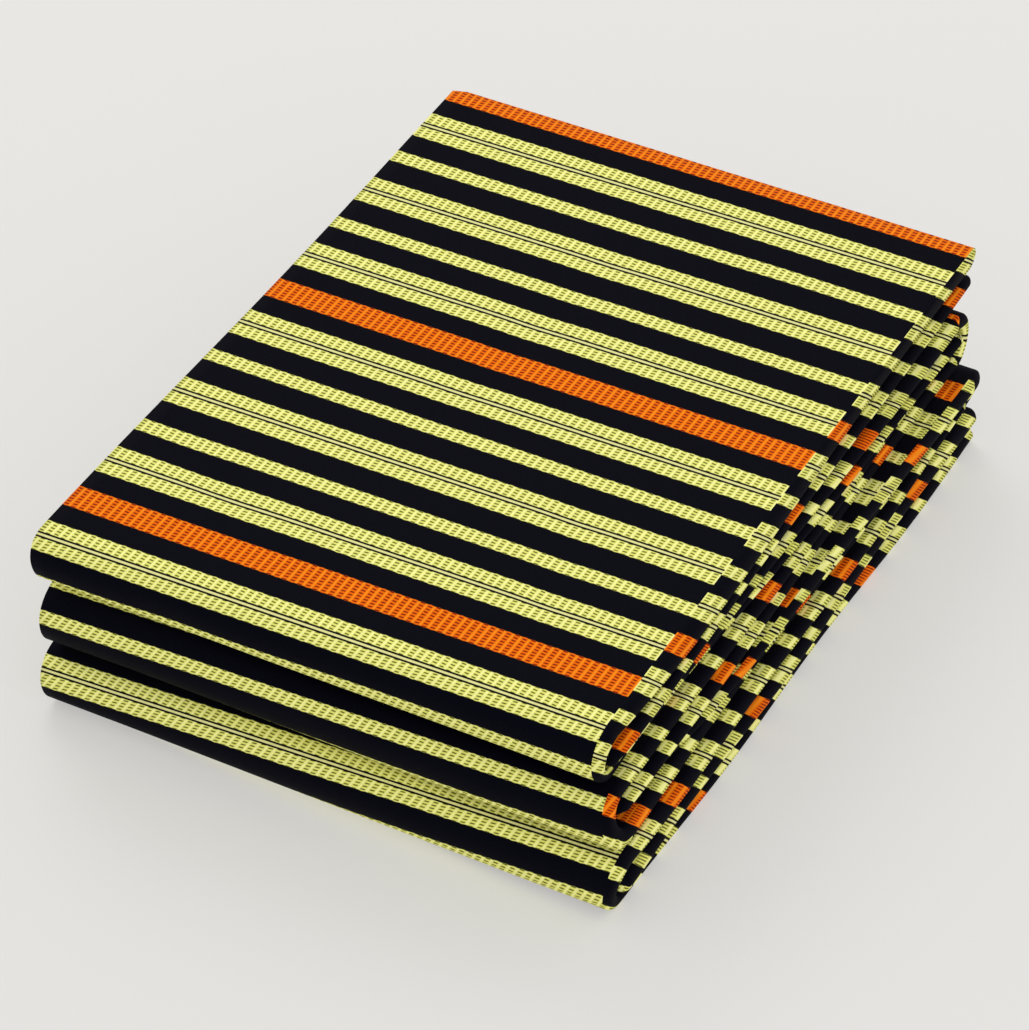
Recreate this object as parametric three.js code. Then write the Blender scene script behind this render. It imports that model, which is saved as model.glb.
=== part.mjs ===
// Folded wax print cloth: one cut length of cotton, folded lengthwise in four, then folded
// back and forth into six passes that lie flat on each other.
// Sizes are in millimetres. X runs along the rounded front folds, Y towards the back, Z up.
// The origin is the middle of the underside.
import * as THREE from "three";

// Driving dimensions
const FOLDED_WIDTH = 292; // a 1168 mm wide cloth folded lengthwise in four
const FOLDED_DEPTH = 406; // from the front folds to the back edge
const SHEET = 2.0; // thickness of one layer
const PASS_GAP = 1.2; // air between one pass and the next
const FOLD_GAP = 0.9; // air between the two long folds of a pass, on the right
const LAYER_COUNT = 4; // layers in one pass
const EDGE_BULGE = 4.2; // how far a long side fold curves out past its layers
const EDGE_SQUARE = 0.8; // below 1 a long side fold is squarer than an ellipse
const TURN_BULGE = 1.0; // depth of a front or back fold over half its height
const TURN_SQUARE = 0.85; // below 1 a front or back fold is squarer than an ellipse
const TURN_LEAN = 0.12; // how much fuller a turn is above its middle than below
const EDGE_STEPS = 5; // flats round a long side fold
const TURN_STEPS = 8; // flats round a front or back fold
const PASS_STEPS = 6; // stretches along a pass
const SHOULDER = 45; // the layers lie evenly up to this far from a side, then part or close up
const LEFT_SHARE = 0.6; // the left long fold's share of the loose air at the left side
const RIPPLE = 0.9; // how far a long side fold wanders in and out
const NEAR_PULL = 3; // puts the middle values of a right-hand edge a quarter of the way back

// The heights of the six passes, from the top down: on the left at the front and back, on the
// right at the front, middle and back. Share is how much of the loose air on the right lies
// inside the upper long fold, at the front and back, which makes it the fatter of the two.
const PASSES = [
  { left: [15, 19], right: [19, 24, 25], share: [0.7, 0.8] },
  { left: [15, 18], right: [16.5, 15, 18], share: [0.5, 0.7] },
  { left: [21.5, 19], right: [19, 18, 15], share: [0.7, 0.1] },
  { left: [21.5, 19], right: [18, 20, 19], share: [0.1, 0.95] },
  { left: [18.5, 18], right: [20, 15.5, 11], share: [0.9, 0.9] },
  { left: [18.5, 20], right: [20, 21, 25], share: [0.6, 0.6] },
];

// How far the edges of the six passes stand out past the width: the upper and lower long fold
// on the right, at the front, a quarter of the way back and at the back, and the left side.
const EDGES = [
  { upper: [0.5, 3, -1], lower: [5, 4.5, -1.5], left: [1.5, 1] },
  { upper: [0, 3, 4], lower: [1.5, 0, 8], left: [0, 1.5] },
  { upper: [4.5, 5, 3], lower: [7.5, 6.5, 4], left: [-0.5, -1] },
  { upper: [-6, 6.5, 14], lower: [9, 6.5, 9], left: [2, 0.5] },
  { upper: [7.5, 11, 11], lower: [2, 3, 7], left: [3, 2] },
  { upper: [8, 8.5, 10], lower: [5, 6, 10], left: [5.5, -0.5] },
];

// The five turns from the top down, with how far each one stops short of the full depth at
// the left and the right. The lowest front turn lies askew, further back on the left.
const TURNS = [
  { end: "front", shortLeft: 0, shortRight: 0 },
  { end: "back", shortLeft: 6, shortRight: 11 },
  { end: "front", shortLeft: 0.5, shortRight: 0 },
  { end: "back", shortLeft: 9, shortRight: 11 },
  { end: "front", shortLeft: 3.5, shortRight: 0.5 },
];

// How far each of the four layers stops short of the full depth at the two cut ends
const CUT_ENDS = { top: [0, 3.5, 1.5, 5], bottom: [8, 11.5, 9, 13] };

const HALF_WIDTH = FOLDED_WIDTH / 2;
const HALF_DEPTH = FOLDED_DEPTH / 2;

const mix = (a, b, t) => a + (b - a) * t;
const across = (x) => (x + HALF_WIDTH) / FOLDED_WIDTH;
const ramp = (t) => Math.min(Math.max(t, 0), 1);
const along = (y) => (y + HALF_DEPTH) / FOLDED_DEPTH;

// A smooth course from the first value through the middle one, at t = 0.5, to the last
function bow([first, middle, last], t) {
  return mix(first, last, t) + (middle - mix(first, last, 0.5)) * 4 * t * (1 - t);
}

// Height of one pass over the point x, y. The right side bends at its middle height.
function passHeight(pass, x, y) {
  const t = along(y);
  return mix(mix(...pass.left, t), bow(pass.right, t), across(x));
}

// Top and bottom of pass k over the point x, y. The lowest pass lies on the ground.
function passRange(k, x, y) {
  let ground = 0;
  for (let i = PASSES.length - 1; i > k; i -= 1) {
    ground += passHeight(PASSES[i], x, y);
  }
  const top = ground + passHeight(PASSES[k], x, y);
  return { top, bottom: ground > 0 ? ground + PASS_GAP : 0 };
}

// Height of a layer's face in pass k. Layers are counted from the outside of the front folds,
// so they lie in reverse order in every second pass. Face 0 is the layer's outer side.
function faceHeight(k, layer, face, x, y) {
  const { top, bottom } = passRange(k, x, y);
  const turned = k % 2 === 1;
  const row = turned ? LAYER_COUNT - 1 - layer : layer;
  const upper = turned ? 1 - face : face;
  const room = top - bottom - LAYER_COUNT * SHEET;
  const even = room / (LAYER_COUNT - 1);
  const toRight = ramp((x - HALF_WIDTH + SHOULDER) / SHOULDER);
  const toLeft = ramp((-x - HALF_WIDTH + SHOULDER) / SHOULDER);
  const share = mix(...PASSES[k].share, along(y));
  const rightGaps = [(room - FOLD_GAP) * share, FOLD_GAP, (room - FOLD_GAP) * (1 - share)];
  const leftGaps = [room * (1 - LEFT_SHARE) / 2, room * LEFT_SHARE, room * (1 - LEFT_SHARE) / 2];
  let z = top;
  for (let i = 1; i <= row; i += 1) {
    const settled = mix(even, rightGaps[i - 1], toRight);
    z -= SHEET + mix(settled, leftGaps[i - 1], toLeft);
  }
  return z - upper * SHEET;
}

// A slow wander of a long fold, different for each pass
function ripple(k, y, offset) {
  const turns = 2.1 + 0.37 * k;
  return RIPPLE * Math.sin(turns * Math.PI * along(y) + 1.7 * k + offset);
}

// Where the layers end and a long fold begins in pass k
function rightEdge(k, layer, y) {
  const upperFold = (layer < LAYER_COUNT / 2) !== (k % 2 === 1);
  const t = along(y);
  const near = t / (t + (1 - t) / NEAR_PULL);
  const out = bow(upperFold ? EDGES[k].upper : EDGES[k].lower, near);
  return HALF_WIDTH - EDGE_BULGE + out + ripple(k, y, upperFold ? 0 : 2);
}

function leftEdge(k, layer, y) {
  const out = mix(...EDGES[k].left, along(y));
  const inner = layer === 0 || layer === LAYER_COUNT - 1 ? -EDGE_BULGE : 0;
  return -HALF_WIDTH + EDGE_BULGE - out + inner + ripple(k, y, 4 + layer);
}

// The cross-section of a pass: two rows of points, one on each side of the sheet, following
// it from the cut edge of the first layer to that of the last, in and out of its three folds.
// Each point lies between two faces, at the given turn from the first to the second.
function sectionRow(outerOnRight) {
  const face = (layer) => ((layer % 2 === 0) === outerOnRight ? 0 : 1);
  const flat = (side, layer) => ({ side, layer, from: face(layer), turn: 0, bulge: 0 });
  const row = [];
  for (let layer = 0; layer < LAYER_COUNT; layer += 1) {
    const rightward = layer % 2 === 0;
    const side = rightward ? "right" : "left";
    const outer = rightward === outerOnRight;
    const bulge = outer ? EDGE_BULGE : EDGE_BULGE - SHEET;
    const last = layer === LAYER_COUNT - 1;
    if (layer === 0) {
      row.push(flat("left", layer));
    }
    row.push(flat(rightward ? "leftShoulder" : "rightShoulder", layer));
    row.push(flat(rightward ? "rightShoulder" : "leftShoulder", layer));
    if (last) {
      row.push(flat("left", layer));
    }
    for (let i = 0; i <= EDGE_STEPS && !last; i += 1) {
      const turn = (Math.PI * i) / EDGE_STEPS;
      row.push({ side, layer, from: face(layer), to: face(layer + 1), turn, bulge });
    }
  }
  return row;
}

// The place of one section point in pass k, at depth y
function placeInPass(point, k, y) {
  const { side, layer, from, to, turn, bulge } = point;
  if (side.endsWith("Shoulder")) {
    const x = (side.startsWith("right") ? 1 : -1) * (HALF_WIDTH - SHOULDER);
    return { x, y, z: faceHeight(k, layer, from, x, y) };
  }
  const edge = side === "right" ? rightEdge : leftEdge;
  const near = edge(k, layer, y);
  if (bulge === 0) {
    return { x: near, y, z: faceHeight(k, layer, from, near, y) };
  }
  const sway = (1 - Math.cos(turn)) / 2;
  const out = bulge * Math.max(Math.sin(turn), 0) ** EDGE_SQUARE;
  const middle = mix(near, edge(k, layer + 1, y), sway);
  const x = middle + (side === "right" ? out : -out);
  const start = faceHeight(k, layer, from, middle, y);
  const end = faceHeight(k, layer + 1, to, middle, y);
  return { x, y, z: mix(start, end, sway) };
}

// Depth at which a turn starts, so that its outermost face reaches the full depth
function turnStart(turn, k, x) {
  const short = mix(turn.shortLeft, turn.shortRight, across(x));
  const edge = turn.end === "front" ? -HALF_DEPTH + short : HALF_DEPTH - short;
  const radius = (passHeight(PASSES[k], x, edge) + passHeight(PASSES[k + 1], x, edge)) / 2;
  const sign = turn.end === "front" ? 1 : -1;
  return edge + sign * radius * TURN_BULGE;
}

// The side of the bundle on which a section point lies, as a place in X
const sideOf = (point) => (point.side.startsWith("right") ? HALF_WIDTH : -HALF_WIDTH);

// The place of one section point part of the way round turn k, from pass k to pass k + 1
function placeInTurn(point, k, angle) {
  const turn = TURNS[k];
  const sign = turn.end === "front" ? -1 : 1;
  const y = turnStart(turn, k, sideOf(point));
  const above = placeInPass(point, k, y);
  const below = placeInPass(point, k + 1, y);
  const radius = Math.abs(above.z - below.z) / 2;
  const sway = (1 - Math.cos(angle)) / 2;
  const round = Math.max(Math.sin(angle), 0) ** TURN_SQUARE;
  const depth = radius * TURN_BULGE * round * (1 + TURN_LEAN * Math.cos(angle));
  return {
    x: mix(above.x, below.x, sway),
    y: y + sign * depth,
    z: mix(above.z, below.z, sway),
  };
}

// Depth of a cut end at one section point, between the ends of the layers that it joins
function cutEnd(shorts, point) {
  const next = Math.min(point.layer + 1, LAYER_COUNT - 1);
  const sway = (1 - Math.cos(point.turn)) / 2;
  return HALF_DEPTH - mix(shorts[point.layer], shorts[next], sway);
}

// Where pass k begins and ends at one section point
function passEnds(k, point) {
  const last = k === PASSES.length - 1;
  const x = sideOf(point);
  const begin = k === 0 ? cutEnd(CUT_ENDS.top, point) : turnStart(TURNS[k - 1], k - 1, x);
  const end = last ? cutEnd(CUT_ENDS.bottom, point) : turnStart(TURNS[k], k, x);
  return { begin, end };
}

// The stations along the cloth's length, each a function from section point to place
function makeStations() {
  const stations = [];
  PASSES.forEach((pass, k) => {
    const last = k === PASSES.length - 1;
    for (let i = 0; i <= PASS_STEPS; i += 1) {
      stations.push((point) => {
        const { begin, end } = passEnds(k, point);
        return placeInPass(point, k, mix(begin, end, i / PASS_STEPS));
      });
    }
    for (let i = 1; i < TURN_STEPS && !last; i += 1) {
      stations.push((point) => placeInTurn(point, k, (Math.PI * i) / TURN_STEPS));
    }
  });
  return stations;
}

// One closed skin from the two rows of points carried along all the stations
function foldedCloth() {
  const rowA = sectionRow(true);
  const rowB = sectionRow(false);
  const ring = [...rowA, ...rowB.slice().reverse()];
  const stations = makeStations();
  const positions = [];
  stations.forEach((place) => {
    ring.forEach((point) => {
      const { x, y, z } = place(point);
      positions.push(x, y, z);
    });
  });
  const count = ring.length;
  const faces = [];
  for (let s = 0; s < stations.length - 1; s += 1) {
    for (let i = 0; i < count; i += 1) {
      const j = (i + 1) % count;
      const a = s * count + i;
      const b = s * count + j;
      const c = a + count;
      const d = b + count;
      faces.push(a, d, b, a, c, d);
    }
  }
  // The two cut ends are closed between the rows.
  const end = (stations.length - 1) * count;
  for (let i = 0; i < rowA.length - 1; i += 1) {
    const a = i;
    const b = i + 1;
    const c = count - 1 - i;
    const d = count - 2 - i;
    faces.push(a, b, d, a, d, c);
    faces.push(end + a, end + d, end + b, end + a, end + c, end + d);
  }
  const geometry = new THREE.BufferGeometry();
  geometry.setAttribute("position", new THREE.Float32BufferAttribute(positions, 3));
  geometry.setIndex(faces);
  // The folds reach out unevenly, so the cloth is moved until its box is centred.
  geometry.computeBoundingBox();
  const middle = geometry.boundingBox.getCenter(new THREE.Vector3());
  geometry.translate(-middle.x, -middle.y, 0);
  geometry.computeVertexNormals();
  return geometry;
}

const printedCotton = new THREE.MeshStandardMaterial({
  color: 0x9c9a4e,
  roughness: 0.82,
  metalness: 0,
});

const cloth = new THREE.Mesh(foldedCloth(), printedCotton);
cloth.name = "folded_cloth";

const bundle = new THREE.Group();
bundle.add(cloth);

export default bundle;
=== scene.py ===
import math

import bpy
import numpy as np
from mathutils import Matrix, Vector


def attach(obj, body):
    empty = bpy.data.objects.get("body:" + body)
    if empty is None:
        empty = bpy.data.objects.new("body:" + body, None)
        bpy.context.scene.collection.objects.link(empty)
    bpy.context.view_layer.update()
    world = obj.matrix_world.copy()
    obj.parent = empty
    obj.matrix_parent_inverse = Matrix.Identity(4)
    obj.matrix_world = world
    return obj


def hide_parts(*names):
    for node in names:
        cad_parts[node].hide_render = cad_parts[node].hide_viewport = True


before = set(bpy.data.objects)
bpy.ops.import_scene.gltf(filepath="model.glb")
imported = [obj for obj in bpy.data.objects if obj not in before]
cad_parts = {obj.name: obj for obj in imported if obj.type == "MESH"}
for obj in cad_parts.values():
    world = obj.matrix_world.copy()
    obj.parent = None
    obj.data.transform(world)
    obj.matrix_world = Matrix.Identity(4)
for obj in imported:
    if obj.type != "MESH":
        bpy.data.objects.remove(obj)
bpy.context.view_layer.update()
MM = 0.001

# Camera: the photograph's direction, distance and frame
CAMERA_AZIMUTH = 28.295
CAMERA_ELEVATION = 40.072
CAMERA_ROLL = -0.119
CAMERA_DISTANCE = 2284.9
CAMERA_AIM = (-26.58, 33.38, 0.0)
SENSOR_WIDTH = 36.0
FRAME_SIZE = (1029, 1030)
FOCAL_PIXELS = 4600.0
# How far the camera sees, in metres
CAMERA_REACH = 20

# The folded bundle, as the solid cloth has it
FOLDED_WIDTH = 292.0
FOLDED_DEPTH = 406.0
LAYER_PITCH = 2.0
PASS_GAP = 1.2
FOLD_GAP = 0.9
LAYER_COUNT = 4
EDGE_BULGE = 4.2
EDGE_SQUARE = 0.8
TURN_BULGE = 1.0
TURN_SQUARE = 0.85
TURN_LEAN = 0.12
SHOULDER = 45.0
LEFT_SHARE = 0.6
NEAR_PULL = 3.0
HALF_WIDTH = FOLDED_WIDTH / 2
HALF_DEPTH = FOLDED_DEPTH / 2

# The slow waver of the edges from front to back, a little different in each pass and layer
RIPPLE = 0.9
RIPPLE_HALF_WAVES = 2.1
RIPPLE_HALF_WAVES_STEP = 0.37
RIPPLE_OFFSET_STEP = 1.7
RIPPLE_LOWER_OFFSET = 2
RIPPLE_LEFT_OFFSET = 4

# Heights of the six passes from the top down, each from the front to the back, and the share
# of the loose room that opens the upper of the two folds on the right, at the front and back
PASSES = [
    dict(left=(15, 19), right=(19, 24, 25), share=(0.7, 0.8)),
    dict(left=(15, 18), right=(16.5, 15, 18), share=(0.5, 0.7)),
    dict(left=(21.5, 19), right=(19, 18, 15), share=(0.7, 0.1)),
    dict(left=(21.5, 19), right=(18, 20, 19), share=(0.1, 0.95)),
    dict(left=(18.5, 18), right=(20, 15.5, 11), share=(0.9, 0.9)),
    dict(left=(18.5, 20), right=(20, 21, 25), share=(0.6, 0.6)),
]

# How far the edges of the six passes stand out past the width: the right side's upper and
# lower folds at the front, near the front and at the back, and the left side's front and back
EDGES = [
    dict(upper=(0.5, 3, -1), lower=(5, 4.5, -1.5), left=(1.5, 1)),
    dict(upper=(0, 3, 4), lower=(1.5, 0, 8), left=(0, 1.5)),
    dict(upper=(4.5, 5, 3), lower=(7.5, 6.5, 4), left=(-0.5, -1)),
    dict(upper=(-6, 6.5, 14), lower=(9, 6.5, 9), left=(2, 0.5)),
    dict(upper=(7.5, 11, 11), lower=(2, 3, 7), left=(3, 2)),
    dict(upper=(8, 8.5, 10), lower=(5, 6, 10), left=(5.5, -0.5)),
]

# How far each turn stops short of the full depth, at the left and the right
TURNS = [
    dict(end="front", short_left=0, short_right=0),
    dict(end="back", short_left=6, short_right=11),
    dict(end="front", short_left=0.5, short_right=0),
    dict(end="back", short_left=9, short_right=11),
    dict(end="front", short_left=3.5, short_right=0.5),
]
# How far the four layers stop short at the cut ends, on the top and the lowest pass
CUT_ENDS = dict(top=(0, 3.5, 1.5, 5), bottom=(8, 11.5, 9, 13))
# How far the back left corner of the top face is drawn in
CORNER_SETBACK = 2.4

# The thin cotton sheet inside the solid's layers
SHEET = 1.2
INSET = (LAYER_PITCH - SHEET) / 2
# Steps of the mesh: over each layer's run and fold, and along each pass and turn
RUN_STEPS = (40, 12, 12, 14)
FOLD_STEPS = (16, 8, 16)
PASS_STEPS = 44
TURN_STEPS = 18

# The print: one repeat, symmetric about the middle of its orange stripe
REPEAT = 185.0
ORANGE_MIDDLE = 7.75
# Where the print lies on the top face: place along the cloth for a depth y
PRINT_START = 180.25
PRINT_BACK = 213.9
PRINT_RATE = 0.962
PRINT_STRETCH = 0.00014
# The plane of the top face, on which the photograph shows the print as one flat sheet
TOP_PLANE = 112.0
# The bands lean forwards to the left, more so near the front
LEAN_EDGE = 133.3
LEAN = 0.0072
FRONT_LEAN = 0.0138
LEAN_START = -21.0
LEAN_REACH = 180.0
LEAN_MOST = 1.2
LEAN_CURVE = 1.4
# Where the top face ends and the uppermost long fold begins, at the front and back
TOP_EDGE = (143.1, 143.8)

# Shift of the print on each long fold on the right: at the back, middle and front
SHIFT_BACK = 99.0
SHIFT_FRONT = -201.0
STRIP_SHIFTS = [
    dict(upper=(25, 32, 42), lower=(146, 147, 151)),
    dict(upper=(25, 32, 40), lower=(0, 0, 0)),
    dict(upper=(88, 89, 103), lower=(18, 25, 32)),
    dict(upper=(79, 89, 100), lower=(88, 89, 103)),
    dict(upper=(116, 122, 128), lower=(0, 9, 18)),
    dict(upper=(0, 9, 18), lower=(115, 122, 129)),
]
# The pass numbered 3 shows a second layer of cloth round its upper fold, up to this sway
SECOND_LAYER = dict(number=3, layer=2, below_sway=1.0, shifts=(26, 33, 41))
# Share of a run, from the left, past which it shows the print of the long fold beside it
STRIP_START = 0.9
# Shift of the print on each front turn, between these places at the left and the right
NOSE_LEFT = -118.7
NOSE_RIGHT = 149.3
NOSE_SHIFTS = {0: (0.0, 0.0), 2: (34.7, 45.5), 4: (94.1, 108.8)}
# Least growth of the print over the cloth, where it turns out of view: along the front turns,
# along them at the long folds, and across the long folds
LEAST_ALONG = 0.6
LEAST_AT_WRAP = 0.1
LEAST_ACROSS = 0.5

# Soft creases of the outer face: where each lies across the cloth and along its pass or turn,
# how far it is turned from straight along the cloth, and its half length, half width and height.
CREASES = [
    dict(zone=("pass", 0), across=-95, along=330, turned=62, reach=46, width=11, height=-0.7),
    dict(zone=("pass", 0), across=-40, along=352, turned=80, reach=60, width=9, height=0.5),
    dict(zone=("pass", 0), across=70, along=300, turned=15, reach=60, width=12, height=-0.5),
    dict(zone=("pass", 0), across=-20, along=150, turned=-8, reach=90, width=14, height=-0.5),
    dict(zone=("pass", 0), across=60, along=60, turned=70, reach=50, width=12, height=0.5),
    dict(zone=("turn", 0), across=-90, along=18, turned=78, reach=36, width=8, height=-0.9),
    dict(zone=("turn", 0), across=30, along=22, turned=86, reach=50, width=9, height=-0.6),
    dict(zone=("turn", 2), across=-60, along=20, turned=84, reach=55, width=9, height=-0.8),
    dict(zone=("turn", 2), across=85, along=24, turned=94, reach=40, width=9, height=0.6),
    dict(zone=("turn", 4), across=40, along=12, turned=82, reach=32, width=9, height=-0.9),
    dict(zone=("turn", 4), across=-70, along=20, turned=92, reach=50, width=9, height=-0.6),
]
# Share of the run over which a crease fades out at the face's edges
CREASE_FADE = 0.06


def mix(a, b, t):
    """From a to b as t goes from 0 to 1."""
    return a + (b - a) * t


def across(x):
    """Share of the folded width, from the left."""
    return (x + HALF_WIDTH) / FOLDED_WIDTH


def along(y):
    """Share of the folded depth, from the front."""
    return (y + HALF_DEPTH) / FOLDED_DEPTH


def bow(values, t):
    """A smooth course from the first value through the middle one, at t = 0.5, to the last."""
    first, middle, last = values
    return mix(first, last, t) + (middle - (first + last) / 2) * 4 * t * (1 - t)


def pass_height(k, x, y):
    p = PASSES[k]
    t = along(y)
    return mix(mix(*p["left"], t), bow(p["right"], t), across(x))


def pass_range(k, x, y):
    """Heights of the top and the underside of a pass."""
    ground = 0 * (x + y)
    for i in range(len(PASSES) - 1, k, -1):
        ground = ground + pass_height(i, x, y)
    top = ground + pass_height(k, x, y)
    lowest = k == len(PASSES) - 1
    return top, ground if lowest else ground + PASS_GAP


def face_height(k, layer, face, x, y):
    """Height of a point between a layer's outer face (0) and its inner face (1)."""
    top, bottom = pass_range(k, x, y)
    turned = k % 2 == 1
    row = LAYER_COUNT - 1 - layer if turned else layer
    upper = 1 - face if turned else face
    room = top - bottom - LAYER_COUNT * LAYER_PITCH
    even = room / (LAYER_COUNT - 1)
    to_right = np.clip((x - HALF_WIDTH + SHOULDER) / SHOULDER, 0, 1)
    to_left = np.clip((-x - HALF_WIDTH + SHOULDER) / SHOULDER, 0, 1)
    share = mix(*PASSES[k]["share"], along(y))
    loose = room - FOLD_GAP
    right_gaps = [loose * share, FOLD_GAP + 0 * loose, loose * (1 - share)]
    left_gaps = [room * (1 - LEFT_SHARE) / 2, room * LEFT_SHARE, room * (1 - LEFT_SHARE) / 2]
    drops = [0 * room]
    for right_gap, left_gap in zip(right_gaps, left_gaps):
        gap = mix(mix(even, right_gap, to_right), left_gap, to_left)
        drops.append(drops[-1] + LAYER_PITCH + gap)
    drop = np.choose(np.broadcast_to(row, room.shape), drops)
    return top - drop - upper * LAYER_PITCH


def ripple(k, y, offset):
    half_waves = RIPPLE_HALF_WAVES + RIPPLE_HALF_WAVES_STEP * k
    return RIPPLE * np.sin(half_waves * math.pi * along(y) + RIPPLE_OFFSET_STEP * k + offset)


def right_edge(k, layer, y):
    upper = (layer < LAYER_COUNT // 2) != (k % 2 == 1)
    row = EDGES[k]
    t = along(y)
    near = t / (t + (1 - t) / NEAR_PULL)
    out = np.where(upper, bow(row["upper"], near), bow(row["lower"], near))
    offset = np.where(upper, 0, RIPPLE_LOWER_OFFSET)
    return HALF_WIDTH - EDGE_BULGE + out + ripple(k, y, offset)


def left_edge(k, layer, y):
    out = mix(*EDGES[k]["left"], along(y))
    inner = np.where((layer == 0) | (layer == LAYER_COUNT - 1), -EDGE_BULGE, 0)
    return -HALF_WIDTH + EDGE_BULGE - out + inner + ripple(k, y, RIPPLE_LEFT_OFFSET + layer)


def section_points():
    """The points across the cloth: its layer, its share of the run and its turn in a fold."""
    points = []
    for layer in range(LAYER_COUNT):
        rightward = layer % 2 == 0
        steps = RUN_STEPS[layer]
        for i in range(steps + 1):
            share = i / steps if rightward else 1 - i / steps
            points.append((layer, share, 0.0, 0, 0))
        if layer < LAYER_COUNT - 1:
            side = 1 if rightward else -1
            for i in range(1, FOLD_STEPS[layer]):
                turn = math.pi * i / FOLD_STEPS[layer]
                points.append((layer, 1.0 if rightward else 0.0, turn, 1, side))
    names = ["layer", "share", "turn", "fold", "side"]
    return {n: np.array([p[i] for p in points]) for i, n in enumerate(names)}


# The section's points in order, with how far each is round its fold, from 0 to 1
POINTS = section_points()
LAYER = POINTS["layer"].astype(int)
NEXT = np.minimum(LAYER + 1, LAYER_COUNT - 1)
SHARE = POINTS["share"]
FOLDING = POINTS["fold"] == 1
SWAY = (1 - np.cos(POINTS["turn"])) / 2
NOMINAL = mix(-HALF_WIDTH, HALF_WIDTH, SHARE)
SIDE_X = HALF_WIDTH * np.clip(NOMINAL / (HALF_WIDTH - SHOULDER), -1, 1)
COUNT = len(LAYER)
# Points of the ring round both faces of the sheet, and the name of its UV map
RING = 2 * COUNT
PRINT_MAP = "print"


def place_in_pass(k, y, outer_on_right):
    """Places of the section points of one row in pass k, at the depths y."""
    rise = INSET / LAYER_PITCH
    even_face = rise if outer_on_right else 1 - rise
    face = np.where(LAYER % 2 == 0, even_face, 1 - even_face)
    next_face = np.where(NEXT % 2 == 0, even_face, 1 - even_face)
    right = right_edge(k, LAYER, y)
    spare = 0 * right
    if k == 0:
        top_edge = mix(*TOP_EDGE, along(y))
        spare = np.where(LAYER == 0, right - top_edge, 0)
        right = right - spare
    run = mix(left_edge(k, LAYER, y), right, SHARE)
    at_right = mix(right, right_edge(k, NEXT, y), SWAY)
    at_left = mix(left_edge(k, LAYER, y), left_edge(k, NEXT, y), SWAY)
    side = POINTS["side"]
    middle = np.where(FOLDING, np.where(side > 0, at_right, at_left), run)
    outside = (side > 0) == outer_on_right
    bulge = np.where(outside, EDGE_BULGE - INSET, EDGE_BULGE - LAYER_PITCH + INSET)
    bulge = bulge + np.where(side > 0, spare / 2, 0)
    out = bulge * np.maximum(np.sin(POINTS["turn"]), 0) ** EDGE_SQUARE
    x = middle + np.where(FOLDING, side * out, 0)
    first = face_height(k, LAYER, face, middle, y)
    second = face_height(k, NEXT, next_face, middle, y)
    z = np.where(FOLDING, mix(first, second, SWAY), first)
    return np.stack([x, y + 0 * x, z], -1)


def turn_start(k):
    """Depth at which each section point leaves pass k for its turn."""
    turn = TURNS[k]
    short = mix(turn["short_left"], turn["short_right"], across(SIDE_X))
    front = turn["end"] == "front"
    edge = -HALF_DEPTH + short if front else HALF_DEPTH - short
    radius = (pass_height(k, SIDE_X, edge) + pass_height(k + 1, SIDE_X, edge)) / 2
    return edge + (radius if front else -radius) * TURN_BULGE


def place_in_turn(k, angle, outer_on_right):
    """Places of the section points at an angle round the turn from pass k to the next."""
    front = TURNS[k]["end"] == "front"
    y = turn_start(k)
    above = place_in_pass(k, y, outer_on_right)
    below = place_in_pass(k + 1, y, outer_on_right)
    radius = np.abs(above[:, 2] - below[:, 2]) / 2
    sway = (1 - math.cos(angle)) / 2
    roundness = max(math.sin(angle), 0) ** TURN_SQUARE
    depth = radius * TURN_BULGE * roundness * (1 + TURN_LEAN * math.cos(angle))
    place = mix(above, below, sway)
    place[:, 1] = y + (-depth if front else depth)
    return place


def cut_end(shorts):
    """Depth at which each section point is cut off."""
    shorts = np.array(shorts, float)
    corner = np.where((LAYER == 0) & (SHARE == 0), CORNER_SETBACK, 0)
    return HALF_DEPTH - mix(shorts[LAYER], shorts[NEXT], np.where(FOLDING, SWAY, 0)) - corner


def cloth_rows():
    """Both faces of the sheet, station by station, with the pass or turn of each station."""
    rows = {True: [], False: []}
    kinds = []
    last = len(PASSES) - 1
    for k in range(len(PASSES)):
        begin = cut_end(CUT_ENDS["top"]) if k == 0 else turn_start(k - 1)
        end = cut_end(CUT_ENDS["bottom"]) if k == last else turn_start(k)
        for i in range(PASS_STEPS + 1):
            y = mix(begin, end, i / PASS_STEPS)
            for row in rows:
                rows[row].append(place_in_pass(k, y, row))
            kinds.append(("pass", k))
        for i in range(1, TURN_STEPS):
            if k == last:
                break
            for row in rows:
                rows[row].append(place_in_turn(k, math.pi * i / TURN_STEPS, row))
            kinds.append(("turn", k))
    return np.array(rows[True]), np.array(rows[False]), kinds


def camera_back():
    """Direction from the aim to the camera."""
    azimuth, elevation = math.radians(CAMERA_AZIMUTH), math.radians(CAMERA_ELEVATION)
    side = math.cos(elevation)
    return np.array([math.sin(azimuth) * side, -math.cos(azimuth) * side, math.sin(elevation)])


def cast(points):
    """Where the camera sees points against the plane of the top face."""
    eye = np.array(CAMERA_AIM) + camera_back() * CAMERA_DISTANCE
    share = (TOP_PLANE - points[..., 2]) / (eye[2] - points[..., 2])
    return mix(points[..., 0], eye[0], share), mix(points[..., 1], eye[1], share)


def course(y):
    """Place along the cloth that the print shows at a depth y of the top plane."""
    t = PRINT_BACK - y
    return PRINT_START + PRINT_RATE * t + PRINT_STRETCH * t * t


def lean(x, y):
    """How far back the print is read, so that its bands lean forwards to the left."""
    near = np.clip((LEAN_START - y) / LEAN_REACH, 0, LEAN_MOST)
    return (LEAN + FRONT_LEAN * near**LEAN_CURVE) * np.maximum(LEAN_EDGE - x, 0)


def growing(values, least):
    """The values along the first axis, each step raised to the least one."""
    steps = np.maximum(np.diff(values, axis=0), least)
    return np.concatenate([values[:1], values[:1] + np.cumsum(steps, axis=0)])


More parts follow.
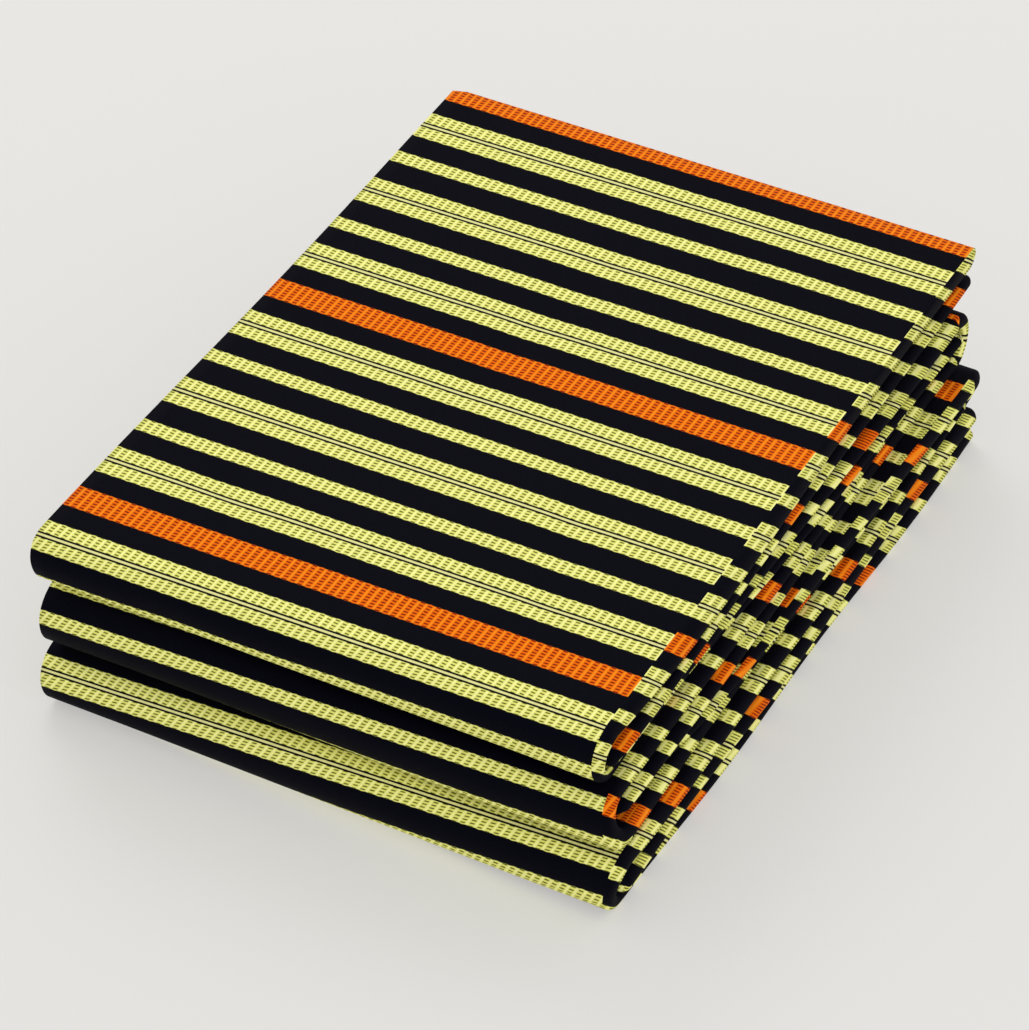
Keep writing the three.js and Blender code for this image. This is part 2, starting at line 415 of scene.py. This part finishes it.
def strip_shift(k, layer, sway, y):
    """Shift of the print on a long fold, at a sway round it and a depth y of the top plane."""
    upper = (layer < LAYER_COUNT // 2) != (k % 2 == 1)
    shifts = STRIP_SHIFTS[k]["upper" if upper else "lower"]
    second = (k, layer) == (SECOND_LAYER["number"], SECOND_LAYER["layer"])
    if second and sway < SECOND_LAYER["below_sway"]:
        shifts = SECOND_LAYER["shifts"]
    return bow(shifts, (SHIFT_BACK - y) / (SHIFT_BACK - SHIFT_FRONT))


def on_the_floor(rows):
    """The rows moved so that their common box is centred and its underside is at zero."""
    points = np.concatenate([row.reshape(-1, 3) for row in rows])
    low, high = points.min(0), points.max(0)
    middle = (low + high) / 2
    return [row - np.array([middle[0], middle[1], low[2]]) for row in rows]


row_a, row_b, KINDS = cloth_rows()
row_a, row_b = on_the_floor((row_a, row_b))
sheet_middle = (row_a + row_b) / 2

# Path lengths along and across the cloth, by which the print lies where the photo shows none
steps_along = np.linalg.norm(np.diff(sheet_middle, axis=0), axis=-1)
path_along = np.concatenate([np.zeros((1, COUNT)), np.cumsum(steps_along, 0)])
path_along += HALF_DEPTH - cut_end(CUT_ENDS["top"])
steps_across = np.linalg.norm(np.diff(sheet_middle, axis=1), axis=-1)
path_across = np.concatenate([[0], np.cumsum(steps_across.mean(0))])

# Places of the print as the camera sees it on the top plane
cast_x, cast_y = cast(sheet_middle)
pass_v = course(cast_y + lean(cast_x, cast_y))


def print_round_turns():
    """Places along the cloth that keep growing where the turns leave the camera's view."""
    places = course(cast_y)
    first_turn_end = PASS_STEPS + TURN_STEPS + 1
    places[:first_turn_end] = pass_v[:first_turn_end]
    least_share = np.where(FOLDING, LEAST_AT_WRAP, LEAST_ALONG)
    for k in range(len(TURNS)):
        first = PASS_STEPS + k * (PASS_STEPS + TURN_STEPS)
        part = slice(first, first + TURN_STEPS + 1)
        places[part] = growing(places[part], steps_along[first : first + TURN_STEPS] * least_share)
    return places


def print_round_folds():
    """Places across the cloth that keep growing where the long folds leave the view."""
    places = cast_x.copy()
    for layer in (0, 2):
        begin, *_, end = np.flatnonzero(FOLDING & (LAYER == layer))
        part = slice(begin - 1, end + 2)
        least = LEAST_ACROSS * steps_across[:, begin - 1 : end + 1].T
        places[:, part] = growing(cast_x[:, part].T, least).T
    return places


turn_v = print_round_turns()
strip_u = print_round_folds()


def crease_heights():
    """How far the creases lift the outer layer from its smooth course, point by point."""
    heights = np.zeros(path_along.shape)
    for c in CREASES:
        start = KINDS.index(c["zone"])
        down = path_along - path_along[start] - c["along"]
        aside = sheet_middle[..., 0] - c["across"]
        cosine, sine = math.cos(math.radians(c["turned"])), math.sin(math.radians(c["turned"]))
        length = (down * cosine + aside * sine) / c["reach"]
        breadth = (aside * cosine - down * sine) / c["width"]
        heights += c["height"] * np.exp(-(length**2) - breadth**2)
    fade = np.clip(np.minimum(SHARE, 1 - SHARE) / CREASE_FADE, 0, 1)
    return heights * np.where((LAYER == 0) & ~FOLDING, fade, 0)


# The creases move both faces of the sheet alike, so it keeps its thickness
lift = row_a - row_b
lift *= (crease_heights() / np.linalg.norm(lift, axis=-1))[..., None]
row_a += lift
row_b += lift


def zone_uv(s, i):
    """Print places of the corners of the patch between stations s, s + 1 and points i, i + 1."""
    kind, k = KINDS[s] if KINDS[s][0] == "turn" else KINDS[s + 1]
    patch = (slice(s, s + 2), slice(i, i + 2))
    fold = FOLDING[i] or FOLDING[i + 1]
    layer = LAYER[i]
    front_turn = kind == "turn" and TURNS[k]["end"] == "front"
    v = turn_v[patch] if front_turn else pass_v[patch]
    if kind == "pass" or front_turn:
        if fold and layer in (0, 2):
            sway = SWAY[i : i + 2].max() if FOLDING[i + 1] else 1
            return strip_u[patch], v + strip_shift(k, layer, sway, cast_y[patch])
        in_view = layer == 0 and (k == 0 or front_turn)
        if min(SHARE[i], SHARE[i + 1]) > STRIP_START and not fold and not in_view:
            above = layer - layer % 2
            return cast_x[patch], v + strip_shift(k, above, layer % 2, cast_y[patch])
    if front_turn and not fold:
        right = (cast_x[patch] - NOSE_LEFT) / (NOSE_RIGHT - NOSE_LEFT)
        return cast_x[patch], v + mix(*NOSE_SHIFTS[k], right)
    top_face = kind == "pass" and k == 0 and layer == 0
    if top_face and not fold:
        return cast_x[patch], v
    return np.broadcast_to(path_across[i : i + 2], (2, 2)), path_along[patch] + PRINT_START


def selvedge_uv(s, i):
    """Print places of the thin edge of the sheet at its selvedge point i."""
    v = np.repeat(path_along[s : s + 2, i : i + 1], 2, axis=1) + PRINT_START
    return np.full((2, 2), path_across[i]), v


def ring_uv(s, i):
    """Print places of one patch of the ring round the outer face, a selvedge and the inner face."""
    if i == COUNT - 1:
        return selvedge_uv(s, COUNT - 1)
    if i == RING - 1:
        return selvedge_uv(s, 0)
    if i < COUNT:
        return zone_uv(s, i)
    u, v = zone_uv(s, RING - 2 - i)
    return u[:, ::-1], v[:, ::-1]


def ring_faces(stations):
    faces, uvs = [], []
    for s in range(stations - 1):
        for i in range(RING):
            a, b = s * RING + i, s * RING + (i + 1) % RING
            faces.append((a, a + RING, b + RING, b))
            u, v = ring_uv(s, i)
            uvs += [(u[row, side], v[row, side]) for row, side in ((0, 0), (1, 0), (1, 1), (0, 1))]
    return faces, uvs


def cut_edge_faces(stations):
    """The thin faces that close the sheet at its two cut ends."""
    faces, uvs = [], []
    end = (stations - 1) * RING
    for i in range(COUNT - 1):
        a, b, c, d = i, i + 1, RING - 1 - i, RING - 2 - i
        faces.append((a, b, d, c))
        faces.append((end + a, end + c, end + d, end + b))
        here, beside = (path_across[i], PRINT_START), (path_across[i + 1], PRINT_START)
        uvs += [here, beside, beside, here]
        uvs += [here, here, beside, beside]
    return faces, uvs


def build_cloth():
    ring = np.concatenate([row_a, row_b[:, ::-1]], axis=1)
    faces, uvs = ring_faces(len(ring))
    edge_faces, edge_uvs = cut_edge_faces(len(ring))
    vertices = ring.reshape(-1, 3) * MM
    mesh = bpy.data.meshes.new("wax_print_cloth")
    mesh.from_pydata([tuple(v) for v in vertices], [], faces + edge_faces)
    layer = mesh.uv_layers.new(name=PRINT_MAP)
    layer.data.foreach_set("uv", (np.array(uvs + edge_uvs) * MM).astype(np.float32).ravel())
    mesh.polygons.foreach_set("use_smooth", [True] * len(mesh.polygons))
    mesh.update()
    cloth = bpy.data.objects.new("wax_print_cloth", mesh)
    bpy.context.scene.collection.objects.link(cloth)
    return cloth


# Places of a colour mix among its node's sockets
MIX_FACTOR, MIX_FIRST, MIX_SECOND, MIX_RESULT = 0, 6, 7, 2


class Nodes:
    """Short ways to place and join the nodes of one tree."""

    def __init__(self, tree):
        self.tree = tree

    def add(self, kind, **values):
        node = self.tree.nodes.new(kind)
        for name, value in values.items():
            setattr(node, name, value)
        return node

    def link(self, source, target):
        self.tree.links.new(source, target)

    def fill(self, socket, value):
        if hasattr(value, "links"):
            self.link(value, socket)
        else:
            socket.default_value = value

    def math(self, operation, *inputs, clamp=False):
        node = self.add("ShaderNodeMath", operation=operation, use_clamp=clamp)
        for socket, value in zip(node.inputs, inputs):
            self.fill(socket, value)
        return node.outputs[0]

    def mix(self, factor, first, second, blend="MIX"):
        node = self.add("ShaderNodeMix", data_type="RGBA", blend_type=blend)
        self.fill(node.inputs[MIX_FACTOR], factor)
        self.fill(node.inputs[MIX_FIRST], first)
        self.fill(node.inputs[MIX_SECOND], second)
        return node.outputs[MIX_RESULT]


def new_group(name, inputs, outputs):
    """An empty node group with its sockets, its nodes and its two ends."""
    group = bpy.data.node_groups.new(name, "ShaderNodeTree")
    for kind, label in inputs:
        group.interface.new_socket(name=label, in_out="INPUT", socket_type=kind)
    for kind, label in outputs:
        group.interface.new_socket(name=label, in_out="OUTPUT", socket_type=kind)
    nodes = Nodes(group)
    return group, nodes, nodes.add("NodeGroupInput"), nodes.add("NodeGroupOutput")


FLOAT = "NodeSocketFloat"

# Half widths and middles of the stripes, from the middle of the orange stripe outwards, and
# the pale line and its dark edges in the middle of each pair
ORANGE_HALF = 7.7
PAIR_MIDDLES = (31.4, 92.5)
PAIR_HALF = 10.4
SINGLE_MIDDLE = 61.3
SINGLE_HALF = 4.5
LINE_HALF = 0.72
LINE_EDGE = 2.0
EDGE_SOFTNESS = 0.18
SCALLOP = 0.16

# The dashes in their columns, with the rows of every other column set half a pitch on
COLUMN_PITCH = 3.97
COLUMN_HALF_WIDTH = 1.45
COLUMN_SOFTNESS = 0.35
ROW_PITCH = 2.1
PAIR_ROW_MIDDLE = 6.2
ROW_MARGIN = 2
DASH_HALF_WIDTH = 1.1
DASH_HALF_HEIGHT = 0.42
DASH_SIDE_SOFTNESS = 0.3
DASH_END_SOFTNESS = 0.25
DASH_TILT = 0.16

# The weave: pitch of the threads, and the noise that makes some of them thicker
THREAD_PITCH = 0.42
SLUB_ACROSS = 1.6
SLUB_ALONG = 0.12
SLUB_DETAIL = 2.0
SLUB_LEAST_TONE = 0.85
SLUB_TONE_RANGE = 0.3


def soft_inside(n, distance, half, softness):
    """1 where the distance is under half, falling off over the softness."""
    gap = n.math("SUBTRACT", half, distance)
    return n.math("MULTIPLY_ADD", gap, 0.5 / softness, 0.5, clamp=True)


def stripe_layout():
    """Masks of the stripes and of the pale line, and each place's distance for the rows."""
    inputs = [(FLOAT, "Along"), (FLOAT, "Across")]
    outputs = [(FLOAT, "Orange"), (FLOAT, "Yellow"), (FLOAT, "Line"), (FLOAT, "Row")]
    group, n, source, out = new_group("stripe_layout", inputs, outputs)
    v, u = source.outputs["Along"], source.outputs["Across"]
    column = n.math("MULTIPLY", u, 2 * math.pi / COLUMN_PITCH)
    scallop = n.math("MULTIPLY", n.math("COSINE", column), SCALLOP)
    turns = n.math("DIVIDE", n.math("SUBTRACT", v, ORANGE_MIDDLE), REPEAT)
    centred = n.math("SUBTRACT", n.math("FRACT", n.math("ADD", turns, 0.5)), 0.5)
    w = n.math("MULTIPLY", n.math("ABSOLUTE", centred), REPEAT)

    def away(middle):
        return n.math("ABSOLUTE", n.math("SUBTRACT", w, middle))

    pair = n.math("MINIMUM", away(PAIR_MIDDLES[0]), away(PAIR_MIDDLES[1]))
    single = away(SINGLE_MIDDLE)
    orange = soft_inside(n, n.math("ADD", w, scallop), ORANGE_HALF, EDGE_SOFTNESS)
    pair_in = soft_inside(n, n.math("ADD", pair, scallop), PAIR_HALF, EDGE_SOFTNESS)
    pair_line = soft_inside(n, pair, LINE_EDGE, EDGE_SOFTNESS)
    line = soft_inside(n, pair, LINE_HALF, EDGE_SOFTNESS)
    single_in = soft_inside(n, n.math("ADD", single, scallop), SINGLE_HALF, EDGE_SOFTNESS)
    pair_yellow = n.math("MULTIPLY", pair_in, n.math("SUBTRACT", 1.0, pair_line))
    n.link(orange, out.inputs["Orange"])
    n.link(n.math("MAXIMUM", pair_yellow, single_in), out.inputs["Yellow"])
    n.link(line, out.inputs["Line"])
    pair_row = n.math("SUBTRACT", pair, PAIR_ROW_MIDDLE)
    near_single = n.math("LESS_THAN", single, SINGLE_HALF + ROW_MARGIN)
    near_orange = n.math("LESS_THAN", w, ORANGE_HALF + ROW_MARGIN)
    row = n.math("MULTIPLY_ADD", near_single, n.math("SUBTRACT", single, pair_row), pair_row)
    orange_row = n.math("ADD", w, ROW_PITCH / 2)
    row = n.math("MULTIPLY_ADD", near_orange, n.math("SUBTRACT", orange_row, row), row)
    n.link(row, out.inputs["Row"])
    return group


def dash_columns():
    """Masks of the dashes and of the columns that hold them."""
    inputs = [(FLOAT, "Across"), (FLOAT, "Row")]
    outputs = [(FLOAT, "Dash"), (FLOAT, "Column")]
    group, n, source, out = new_group("dash_columns", inputs, outputs)
    columns = n.math("DIVIDE", source.outputs["Across"], COLUMN_PITCH)
    in_column = n.math("SUBTRACT", n.math("FRACT", columns), 0.5)
    sideways = n.math("MULTIPLY", n.math("ABSOLUTE", in_column), COLUMN_PITCH)
    odd = n.math("FLOORED_MODULO", n.math("FLOOR", columns), 2.0)
    tilt = n.math("MULTIPLY", in_column, DASH_TILT)
    rows = n.math("DIVIDE", source.outputs["Row"], ROW_PITCH)
    rows = n.math("ADD", n.math("MULTIPLY_ADD", odd, 0.5, rows), tilt)
    in_row = n.math("ABSOLUTE", n.math("SUBTRACT", n.math("FRACT", rows), 0.5))
    upright = n.math("MULTIPLY", in_row, ROW_PITCH)
    wide = soft_inside(n, sideways, DASH_HALF_WIDTH, DASH_SIDE_SOFTNESS)
    high = soft_inside(n, upright, DASH_HALF_HEIGHT, DASH_END_SOFTNESS)
    n.link(n.math("MULTIPLY", wide, high), out.inputs["Dash"])
    n.link(soft_inside(n, sideways, COLUMN_HALF_WIDTH, COLUMN_SOFTNESS), out.inputs["Column"])
    return group


def plain_weave():
    """Height of the crossing threads, and the noise of the thicker ones."""
    inputs = [(FLOAT, "Along"), (FLOAT, "Across"), (FLOAT, "Thread")]
    outputs = [(FLOAT, "Height"), (FLOAT, "Slub")]
    group, n, source, out = new_group("plain_weave", inputs, outputs)
    thread = source.outputs["Thread"]
    u = n.math("DIVIDE", source.outputs["Across"], thread)
    v = n.math("DIVIDE", source.outputs["Along"], thread)
    warp = n.math("ABSOLUTE", n.math("SINE", n.math("MULTIPLY", u, math.pi)))
    weft = n.math("ABSOLUTE", n.math("SINE", n.math("MULTIPLY", v, math.pi)))
    over = n.math("FLOORED_MODULO", n.math("ADD", n.math("FLOOR", u), n.math("FLOOR", v)), 2.0)
    under = n.math("SUBTRACT", 1.0, over)
    height = n.math("ADD", n.math("MULTIPLY", warp, over), n.math("MULTIPLY", weft, under))
    place = n.add("ShaderNodeCombineXYZ")
    n.link(n.math("MULTIPLY", source.outputs["Across"], SLUB_ACROSS), place.inputs[0])
    n.link(n.math("MULTIPLY", source.outputs["Along"], SLUB_ALONG), place.inputs[1])
    noise = n.add("ShaderNodeTexNoise", noise_dimensions="2D")
    n.link(place.outputs[0], noise.inputs["Vector"])
    noise.inputs["Scale"].default_value = 1.0
    noise.inputs["Detail"].default_value = SLUB_DETAIL
    n.link(height, out.inputs["Height"])
    n.link(noise.outputs["Fac"], out.inputs["Slub"])
    return group


DISPLAY_GAMMA = 2.2


def rgb(red, green, blue):
    """A colour given as the eye sees it, 0 to 255."""
    return tuple((c / 255) ** DISPLAY_GAMMA for c in (red, green, blue)) + (1.0,)


# The dyes: the dark ground, the two colours of stripe with their dashes, and the pale line
NIGHT = rgb(4, 5, 19)
YELLOW = rgb(232, 231, 120)
YELLOW_PALE = rgb(249, 247, 158)
OLIVE = rgb(84, 86, 18)
CREAM = rgb(228, 224, 150)
ORANGE = rgb(238, 106, 10)
ORANGE_PALE = rgb(250, 140, 30)
RUST = rgb(112, 16, 0)

COTTON_ROUGHNESS = 0.8
COTTON_SPECULAR = 0.06
WEAVE_STRENGTH = 0.25
WEAVE_HEIGHT = 0.2


def printed_cotton():
    material = bpy.data.materials.new("printed_cotton")
    material.use_nodes = True
    n = Nodes(material.node_tree)
    shader = material.node_tree.nodes["Principled BSDF"]
    uv = n.add("ShaderNodeUVMap", uv_map=PRINT_MAP)
    split = n.add("ShaderNodeSeparateXYZ")
    n.link(uv.outputs[0], split.inputs[0])
    u = n.math("DIVIDE", split.outputs[0], MM)
    v = n.math("DIVIDE", split.outputs[1], MM)

    layout = n.add("ShaderNodeGroup", node_tree=stripe_layout())
    n.link(v, layout.inputs["Along"])
    n.link(u, layout.inputs["Across"])
    dashes = n.add("ShaderNodeGroup", node_tree=dash_columns())
    n.link(u, dashes.inputs["Across"])
    n.link(layout.outputs["Row"], dashes.inputs["Row"])
    weave = n.add("ShaderNodeGroup", node_tree=plain_weave())
    n.link(u, weave.inputs["Across"])
    n.link(v, weave.inputs["Along"])
    weave.inputs["Thread"].default_value = THREAD_PITCH

    yellow = n.mix(dashes.outputs["Column"], YELLOW_PALE, YELLOW)
    yellow = n.mix(dashes.outputs["Dash"], yellow, OLIVE)
    orange = n.mix(dashes.outputs["Column"], ORANGE_PALE, ORANGE)
    orange = n.mix(dashes.outputs["Dash"], orange, RUST)
    color = n.mix(layout.outputs["Yellow"], NIGHT, yellow)
    color = n.mix(layout.outputs["Orange"], color, orange)
    color = n.mix(layout.outputs["Line"], color, CREAM)
    slub = n.math("MULTIPLY_ADD", weave.outputs["Slub"], SLUB_TONE_RANGE, SLUB_LEAST_TONE)
    tone = n.add("ShaderNodeCombineColor")
    for socket in tone.inputs:
        n.link(slub, socket)
    color = n.mix(1.0, color, tone.outputs[0], blend="MULTIPLY")
    n.link(color, shader.inputs["Base Color"])

    bump = n.add("ShaderNodeBump")
    bump.inputs["Strength"].default_value = WEAVE_STRENGTH
    bump.inputs["Distance"].default_value = WEAVE_HEIGHT * MM
    n.link(weave.outputs["Height"], bump.inputs["Height"])
    n.link(bump.outputs[0], shader.inputs["Normal"])
    shader.inputs["Roughness"].default_value = COTTON_ROUGHNESS
    shader.inputs["Specular IOR Level"].default_value = COTTON_SPECULAR
    return material


def make_camera():
    """The photograph's camera, a little rolled about its own line of sight."""
    back = Vector(camera_back())
    right = (-back).cross(Vector((0, 0, 1))).normalized()
    up = back.cross(right)
    roll = math.radians(CAMERA_ROLL)
    turned_right = math.cos(roll) * right + math.sin(roll) * up
    turned_up = math.cos(roll) * up - math.sin(roll) * right
    data = bpy.data.cameras.new("camera")
    data.sensor_width = SENSOR_WIDTH
    data.lens = FOCAL_PIXELS / FRAME_SIZE[1] * SENSOR_WIDTH
    camera = bpy.data.objects.new("camera", data)
    bpy.context.scene.collection.objects.link(camera)
    place = (Vector(CAMERA_AIM) + back * CAMERA_DISTANCE) * MM
    camera.matrix_world = Matrix((
        (turned_right[0], turned_up[0], back[0], place[0]),
        (turned_right[1], turned_up[1], back[1], place[1]),
        (turned_right[2], turned_up[2], back[2], place[2]),
        (0, 0, 0, 1),
    ))
    data.clip_end = CAMERA_REACH
    bpy.context.scene.camera = camera


# The studio, in metres and watts: a pale floor that glows a little, so that shadows stay soft
FLOOR_SIZE = 12
FLOOR_COLOR = (0.36, 0.355, 0.345, 1)
FLOOR_ROUGHNESS = 0.9
FLOOR_SPECULAR = 0.1
FLOOR_GLOW_COLOR = (1.0, 0.985, 0.955, 1)
FLOOR_GLOW = 0.42
STUDIO_COLOR = (1.0, 1.0, 1.0, 1)
STUDIO_STRENGTH = 0.9
LIGHT_TARGET = Vector((0, 0, 0.05))
LIGHTS = [
    dict(name="window", place=(-1.6, 1.4, 2.4), size=1.6, power=17, color=(1, 0.99, 0.97)),
    dict(name="fill", place=(2.2, -1.6, 1.6), size=2.2, power=7, color=(0.98, 0.99, 1)),
]


def soft_light(name, place, size, power, color):
    data = bpy.data.lights.new(name, "AREA")
    data.shape = "DISK"
    data.size = size
    data.energy = power
    data.color = color
    light = bpy.data.objects.new(name, data)
    light.location = place
    light.rotation_euler = (LIGHT_TARGET - Vector(place)).to_track_quat("-Z", "Y").to_euler()
    bpy.context.scene.collection.objects.link(light)


def pale_floor():
    material = bpy.data.materials.new("pale_floor")
    material.use_nodes = True
    shader = material.node_tree.nodes["Principled BSDF"]
    shader.inputs["Base Color"].default_value = FLOOR_COLOR
    shader.inputs["Roughness"].default_value = FLOOR_ROUGHNESS
    shader.inputs["Specular IOR Level"].default_value = FLOOR_SPECULAR
    shader.inputs["Emission Color"].default_value = FLOOR_GLOW_COLOR
    shader.inputs["Emission Strength"].default_value = FLOOR_GLOW
    return material


def make_floor():
    for selected in bpy.context.selected_objects:
        selected.select_set(False)
    bpy.ops.mesh.primitive_plane_add(size=FLOOR_SIZE, location=(0, 0, 0))
    floor = bpy.context.active_object
    floor.name = "studio_floor"
    floor.data.materials.append(pale_floor())


def make_studio():
    make_floor()
    world = bpy.data.worlds.new("studio")
    world.use_nodes = True
    background = world.node_tree.nodes["Background"]
    background.inputs["Color"].default_value = STUDIO_COLOR
    background.inputs["Strength"].default_value = STUDIO_STRENGTH
    bpy.context.scene.world = world
    for light in LIGHTS:
        soft_light(**light)
    bpy.context.scene.view_settings.view_transform = "Standard"


make_camera()
make_studio()
cloth = build_cloth()
cloth.data.materials.append(printed_cotton())
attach(cloth, "root")
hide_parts("folded_cloth")
